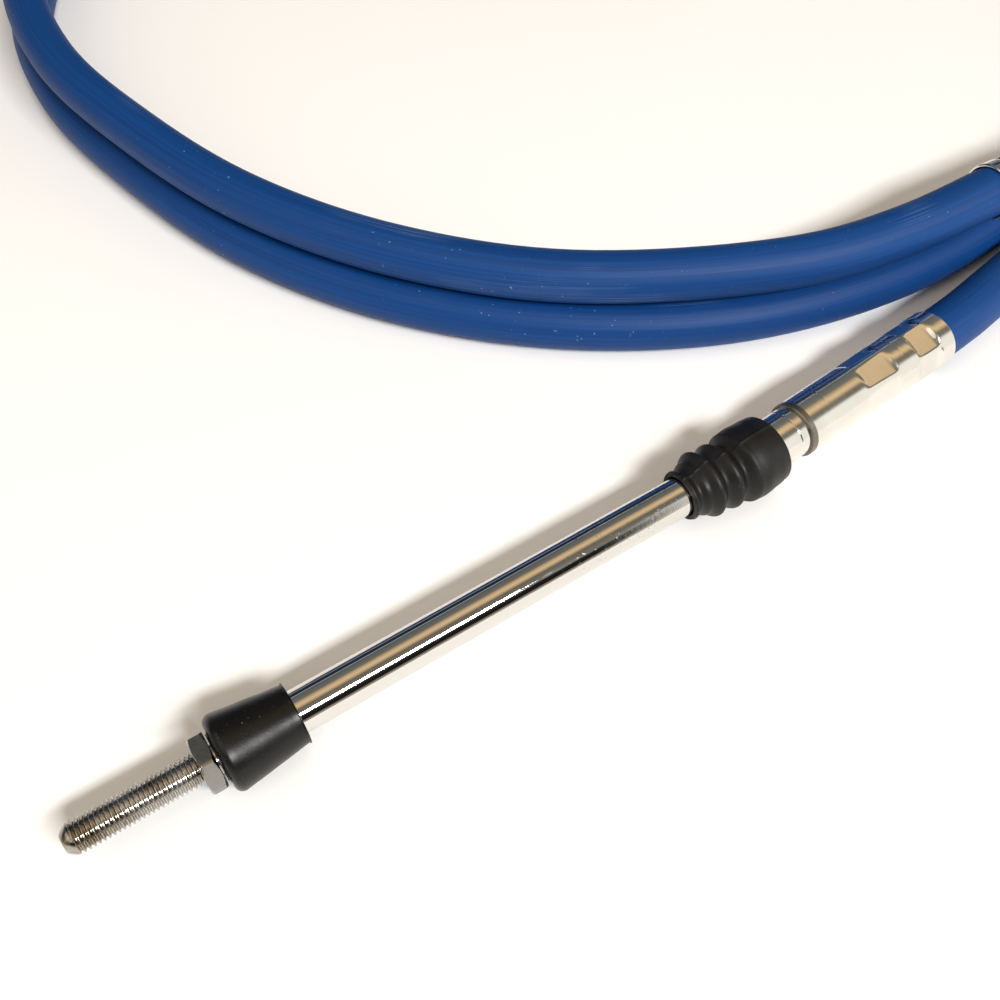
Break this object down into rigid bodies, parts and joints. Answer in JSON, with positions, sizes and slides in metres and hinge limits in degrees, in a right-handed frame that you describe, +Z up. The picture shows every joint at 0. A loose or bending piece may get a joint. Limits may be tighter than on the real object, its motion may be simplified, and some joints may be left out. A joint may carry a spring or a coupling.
{
  "type": "boat control cable",
  "caption": "Coiled push-pull boat control cable with a plastic jacket and a threaded rod, sealed support tube, rubber boot and crimped hub on each end.",
  "frame": {"origin": "middle of the two end fittings' footprint, on the floor that the cable lies on", "axes": "+Z up; +X from the rod tip of end A towards the rod tip of end B; the coil lies towards +Y"},
  "size_m": [0.5291, 0.4744, 0.0317],
  "materials": {
    "jacket": "blue extruded plastic, slightly satin, with pale scuffs",
    "thread_steel": "rolled stainless thread, bright crests",
    "nut_steel": "machined stainless steel",
    "cap_rubber": "smooth moulded black rubber",
    "tube_steel": "mirror-polished stainless tube with a few scratches",
    "boot_rubber": "matt moulded black rubber with a mould seam",
    "hub_plate": "bright plated steel, crimped"
  },
  "bodies": {
    "cable": {"cable_jacket": "jacket", "hub_a": "hub_plate", "hub_b": "hub_plate"},
    "tube_a": {"support_tube_a": "tube_steel", "seal_cap_a": "cap_rubber", "boot_a": "boot_rubber"},
    "rod_a": {"rod_end_a": "thread_steel", "jam_nut_a": "nut_steel"},
    "tube_b": {"support_tube_b": "tube_steel", "seal_cap_b": "cap_rubber", "boot_b": "boot_rubber"},
    "rod_b": {"rod_end_b": "thread_steel", "jam_nut_b": "nut_steel"}
  },
  "joints": [
    {"name": "swivel_a", "type": "hinge", "parent": "cable", "child": "tube_a", "pos_m": [-0.08877, -0.06603, 0.0087], "axis": [0, 0, 1], "range_deg": [-3.8, 12.2], "deforming": ["boot_a"]},
    {"name": "rod_slide_a", "type": "slide", "parent": "tube_a", "child": "rod_a", "axis": [-0.8377, -0.5461, -0.0064], "range_m": [0, 0.0762]},
    {"name": "swivel_b", "type": "hinge", "parent": "cable", "child": "tube_b", "pos_m": [0.02104, 0.03212, 0.0233], "axis": [0, 0, 1], "range_deg": [-6.5, 6.5], "deforming": ["boot_b"]},
    {"name": "rod_slide_b", "type": "slide", "parent": "tube_b", "child": "rod_b", "axis": [-0.8544, -0.5134, 0.08], "range_m": [0, 0.0762]}
  ],
  "couplings": [
    {"joint": "rod_slide_b", "follows": "rod_slide_a", "ratio": 1}
  ]
}
